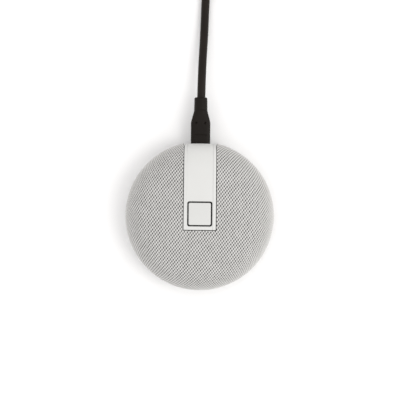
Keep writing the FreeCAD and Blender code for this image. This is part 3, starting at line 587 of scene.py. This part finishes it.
# Points across the tape, whose thickness falls off over this distance to a thin edge.
TAPE_ACROSS = 9
TAPE_EDGE = 0.5
TAPE_EDGE_SHARE = 0.04


def tape_path():
    """The middle of the tape's thickness round the bundle, as X and Z."""
    left = tie_low.x + TAPE_THICKNESS / 2 + TAPE_CORNER
    # The outermost turn has wound half a cord inwards by the time it passes the tie.
    right = coil_high.x - CORD_DIAMETER / 2 + TAPE_THICKNESS / 2 - TAPE_CORNER
    bottom = TAPE_THICKNESS / 2 + TAPE_CORNER
    top = 2 * CORD_DIAMETER + TIE_LIFT + TAPE_THICKNESS / 2 - TAPE_CORNER
    path = []
    for corner, (x, z) in enumerate(((right, top), (left, top), (left, bottom), (right, bottom))):
        for k in range(TAPE_CORNER_STEPS + 1):
            angle = math.pi / 2 * (corner + k / TAPE_CORNER_STEPS)
            path.append((x + TAPE_CORNER * math.cos(angle), z + TAPE_CORNER * math.sin(angle)))
    return path


def tie_band():
    """Hook-and-loop tape round the coil's bundle."""
    path = tape_path()
    width = tie_high.y - tie_low.y
    vertices = []
    for i, (x, z) in enumerate(path):
        before = Vector(path[i - 1])
        after = Vector(path[(i + 1) % len(path)])
        tangent = (after - before).normalized()
        for side in (1, -1):
            for k in range(TAPE_ACROSS):
                share = k / (TAPE_ACROSS - 1)
                from_edge = min(share, 1 - share) * width
                fullness = min(1.0, math.sqrt(from_edge / TAPE_EDGE + TAPE_EDGE_SHARE))
                swell = TAPE_THICKNESS / 2 * fullness * side
                vertices.append((x + tangent.y * swell, between(tie_low.y, tie_high.y, share),
                                 max(0.0, z - tangent.x * swell)))
    ring = 2 * TAPE_ACROSS
    order = list(range(TAPE_ACROSS)) + list(range(ring - 1, TAPE_ACROSS - 1, -1))
    faces = []
    for i in range(len(path)):
        here = i * ring
        there = (i + 1) % len(path) * ring
        for one, two in zip(order, order[1:] + order[:1]):
            faces.append((here + one, here + two, there + two, there + one))
    band = new_piece("coil_tie_band", vertices, faces, "tie_fabric", "power_lead")
    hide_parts("coil_tie")
    return band


# ---- the knitted cover ----
# The cover's profile, as in the CAD model: a shallow dome, a round shoulder and a tuck under.
# The hem then folds inwards.
RADIUS = (cover_high.x - cover_low.x) / 2
CROWN = cover_high.z
HEM = cover_low.z
DOME = 148.0
SHOULDER = 18.0
TUCK = 14.0
HEM_FOLD = 0.8
HEM_SPARE = 2.0
DOME_CENTRE = CROWN - DOME
DOME_TURN = math.asin((RADIUS - SHOULDER) / (DOME - SHOULDER))
SHOULDER_Z = DOME_CENTRE + (DOME - SHOULDER) * math.cos(DOME_TURN)
TUCK_TURN = math.asin((SHOULDER_Z - HEM) / TUCK)
ARC_DOME = DOME * DOME_TURN
ARC_SHOULDER = SHOULDER * (math.pi / 2 - DOME_TURN)
ARC_TUCK = TUCK * TUCK_TURN
ARC_FOLD = HEM_FOLD * (math.pi - TUCK_TURN)
CLOTH_RADIUS = ARC_DOME + ARC_SHOULDER + ARC_TUCK + ARC_FOLD + HEM_SPARE
# The strap's slot, whose edges the cover rounds over and turns down.
STRAP_GAP = 0.42
EDGE_X = (strap_high.x - strap_low.x) / 2 + STRAP_GAP
EDGE_Y = strap_low.y - STRAP_GAP
EDGE_ROUND = 0.4
EDGE_DEPTH = 2.2
# The lines of points along the slot's edge, as shares of the round-over's width.
ROUND_LINES = (0.0, 0.35, 1.0)
# The share of the knit's depth that is left at the slot's edge.
EDGE_CALM = 0.3
# How near to a line of the slot's edge the mesh is cut along it: inside, outside and past its ends.
CUT_INSIDE = 1.2
CUT_OUTSIDE = 2.4
CUT_PAST = 3.0
# A point nearer to the edge than this is on it.
ON_EDGE = 1e-3
# Yarns per millimetre along X and Y for the knit's two directions, on the cloth laid flat.
YARN_ONE = np.array((0.4985, -0.4279))
YARN_TWO = np.array((-0.6466, -0.3956))
# Points of the mesh from one yarn to the next.
CELL_STEPS = 4
# The yarns stand proud of the CAD cover by the crest, and the deepest holes are this far under them.
YARN_CREST = 0.2
YARN_DEPTH = 1.05
# How much of the depth lies in the grooves of each direction, and in the holes where they cross.
GROOVE_SHARES = (0.26, 0.20)
HOLE_SHARE = 0.54
HOLE_SPREAD = (0.72, 1.12)
HOLE_SEED = 7


def profile(arc):
    """Radius, height and outward normal (radial, upward) at an arc length from the crown."""
    arc = np.asarray(arc)
    on_dome = np.minimum(arc, ARC_DOME) / DOME
    on_shoulder = np.clip(arc - ARC_DOME, 0, ARC_SHOULDER) / SHOULDER
    on_tuck = np.clip(arc - ARC_DOME - ARC_SHOULDER, 0, ARC_TUCK) / TUCK
    on_fold = np.clip(arc - ARC_DOME - ARC_SHOULDER - ARC_TUCK, 0, ARC_FOLD) / HEM_FOLD
    beyond = np.maximum(arc - (CLOTH_RADIUS - HEM_SPARE), 0)
    radius = DOME * np.sin(on_dome) - beyond
    height = DOME_CENTRE + DOME * np.cos(on_dome)
    turn = on_dome
    for size, step in ((SHOULDER, on_shoulder), (TUCK, on_tuck), (HEM_FOLD, on_fold)):
        radius = radius + size * (np.sin(turn + step) - np.sin(turn))
        height = height + size * (np.cos(turn + step) - np.cos(turn))
        turn = turn + step
    return radius, height, np.sin(turn), np.cos(turn)


def knit_height(flat):
    """How proud the yarn is at points of the flat cloth, from 0 in a hole to 1 on a yarn."""
    turns = np.column_stack((flat @ YARN_ONE, flat @ YARN_TWO))
    groove = 0.5 - 0.5 * np.cos(2 * np.pi * turns)
    cell = np.floor(turns).astype(int)
    cell -= cell.min(0)
    spread = np.random.default_rng(HOLE_SEED).uniform(*HOLE_SPREAD, cell.max(0) + 1)
    hole = groove[:, 0] * groove[:, 1] * spread[cell[:, 0], cell[:, 1]]
    return np.clip(1 - groove @ GROOVE_SHARES - HOLE_SHARE * hole, 0, 1)


def cloth_grid():
    """Points of the flat cloth on the knit's own lattice, and the quads between them."""
    lattice = np.linalg.inv(np.array((YARN_ONE, YARN_TWO)))
    span = int(CLOTH_RADIUS * max(np.linalg.norm(YARN_ONE), np.linalg.norm(YARN_TWO)) * CELL_STEPS) + 2
    steps = np.arange(-span, span + 1)
    i, j = np.meshgrid(steps, steps, indexing="ij")
    flat = np.stack((i, j), -1).reshape(-1, 2) / CELL_STEPS @ lattice.T
    side = len(steps)
    inside = np.hypot(flat[:, 0], flat[:, 1]) < CLOTH_RADIUS
    corner = (np.arange(side - 1)[:, None] * side + np.arange(side - 1)).ravel()
    quads = np.stack((corner, corner + side, corner + side + 1, corner + 1), -1)
    quads = quads[inside[quads].all(1)]
    used, quads = np.unique(quads, return_inverse=True)
    return flat[used], quads.reshape(-1, 4)


def directions(flat):
    """How far each point of the flat cloth is from the crown, and in which direction."""
    arc = np.hypot(flat[:, 0], flat[:, 1])
    return arc, flat / np.maximum(arc, 1e-6)[:, None]


def slot_distance(x, y):
    """How far a point is outside the strap's slot, seen from above."""
    return np.hypot(np.maximum(np.abs(x) - EDGE_X, 0), np.maximum(EDGE_Y - y, 0))


def draped_mesh():
    """The cloth's grid laid over the profile, each point keeping its place on the flat cloth."""
    flat, quads = cloth_grid()
    arc, way = directions(flat)
    radius, height, _, _ = profile(arc)
    place = np.column_stack((radius * way[:, 0], radius * way[:, 1], height))
    mesh = bmesh.new()
    flat_x = mesh.verts.layers.float.new("flat_x")
    flat_y = mesh.verts.layers.float.new("flat_y")
    points = []
    for spot, cloth in zip(place, flat):
        point = mesh.verts.new(spot)
        point[flat_x] = cloth[0]
        point[flat_y] = cloth[1]
        points.append(point)
    for quad in quads:
        mesh.faces.new([points[k] for k in quad])
    return mesh


def cut_slot(mesh):
    """Cut the strap's slot, with two more lines of points beside its edge for the round-over."""
    lines = (((EDGE_X, 0, 0), (1, 0, 0)), ((-EDGE_X, 0, 0), (-1, 0, 0)), ((0, EDGE_Y, 0), (0, -1, 0)))
    for spot, way_out in lines:
        spot = Vector(spot)
        way_out = Vector(way_out)
        for share in ROUND_LINES:
            near = []
            for face in mesh.faces:
                middle = face.calc_center_median()
                beside = -CUT_INSIDE < (middle - spot).dot(way_out) < CUT_OUTSIDE
                if beside and middle.y > EDGE_Y - CUT_PAST and abs(middle.x) < EDGE_X + CUT_PAST:
                    near.append(face)
            edges = list({edge for face in near for edge in face.edges})
            points = list({point for face in near for point in face.verts})
            bmesh.ops.bisect_plane(mesh, geom=near + edges + points, plane_no=way_out,
                                   plane_co=spot + way_out * (EDGE_ROUND * share))
    inside = []
    for face in mesh.faces:
        middle = face.calc_center_median()
        if abs(middle.x) < EDGE_X and middle.y > EDGE_Y:
            inside.append(face)
    bmesh.ops.delete(mesh, geom=inside, context="FACES")


def turn_down_edge(mesh):
    """Add the strip that hangs from the slot's edge, and return its lower points' numbers."""
    rim = []
    for edge in mesh.edges:
        if edge.is_boundary and all(slot_distance(*point.co.xy) < ON_EDGE for point in edge.verts):
            rim.append(edge)
    strip = bmesh.ops.extrude_edge_only(mesh, edges=rim)
    mesh.verts.index_update()
    return [part.index for part in strip["geom"] if isinstance(part, bmesh.types.BMVert)]


def flat_places(data):
    """Take the points' places on the flat cloth off the mesh."""
    flat = np.empty((len(data.vertices), 2))
    for column, name in enumerate(("flat_x", "flat_y")):
        layer = np.empty(len(data.vertices))
        data.attributes[name].data.foreach_get("value", layer)
        flat[:, column] = layer
        data.attributes.remove(data.attributes[name])
    return flat


def raise_yarns(data, hanging):
    """Sink the mesh between the yarns and round it over at the slot, and keep the yarn's height. The hanging
    strip's lower points get the holes' near-black colour as painted shade in the gap beside the strap.
    """
    place = np.empty(len(data.vertices) * 3)
    data.vertices.foreach_get("co", place)
    place = place.reshape(-1, 3)
    flat = flat_places(data)
    arc, way = directions(flat)
    _, _, out, up = profile(arc)
    normal = np.column_stack((out * way[:, 0], out * way[:, 1], up))
    yarn = knit_height(flat)
    distance = slot_distance(place[:, 0], place[:, 1])
    to_edge = np.maximum(EDGE_ROUND - distance, 0)
    round_over = EDGE_ROUND - np.sqrt(np.maximum(EDGE_ROUND**2 - to_edge**2, 0))
    calm = np.clip(distance / (2 * EDGE_ROUND), EDGE_CALM, 1)
    sink = YARN_DEPTH * (1 - yarn) * calm - YARN_CREST + round_over
    sink[hanging] = EDGE_DEPTH
    # Painted shade: the strip's lower edge takes the holes' near-black colour, which darkens the gap beside
    # the strap.
    yarn[hanging] = 0.0
    place = place - normal * sink[:, None]
    data.vertices.foreach_set("co", (place * MM).ravel())
    data.attributes.new("yarn", "FLOAT", "POINT").data.foreach_set("value", yarn)
    data.update()
    data.shade_smooth()


def knit_cover():
    """The cover: yarns over the dome, cut for the strap, with the slot's edge turned down."""
    mesh = draped_mesh()
    cut_slot(mesh)
    hanging = turn_down_edge(mesh)
    data = bpy.data.meshes.new("knit_cover")
    mesh.to_mesh(data)
    mesh.free()
    raise_yarns(data, hanging)
    cover = bpy.data.objects.new("knit_cover", data)
    bpy.context.scene.collection.objects.link(cover)
    finish_piece(cover, "cover_fabric", "housing")
    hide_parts("fabric_cover")


# ---- scene ----
camera()
studio()
floor()
MATERIALS = make_materials()
RECORD_MATERIALS = {entry["node"]: entry["material_slot"] for entry in frame["record"]["subparts"]}
for name, node in frame["nodes"].items():
    if node.material_slots:
        for material_slot in node.material_slots:
            material_slot.material = MATERIALS[RECORD_MATERIALS[name]]
    else:
        node.data.materials.append(MATERIALS[RECORD_MATERIALS[name]])

plug = plug_body()
neck = plug_neck()
tie = tie_band()
lead_cord()
knit_cover()
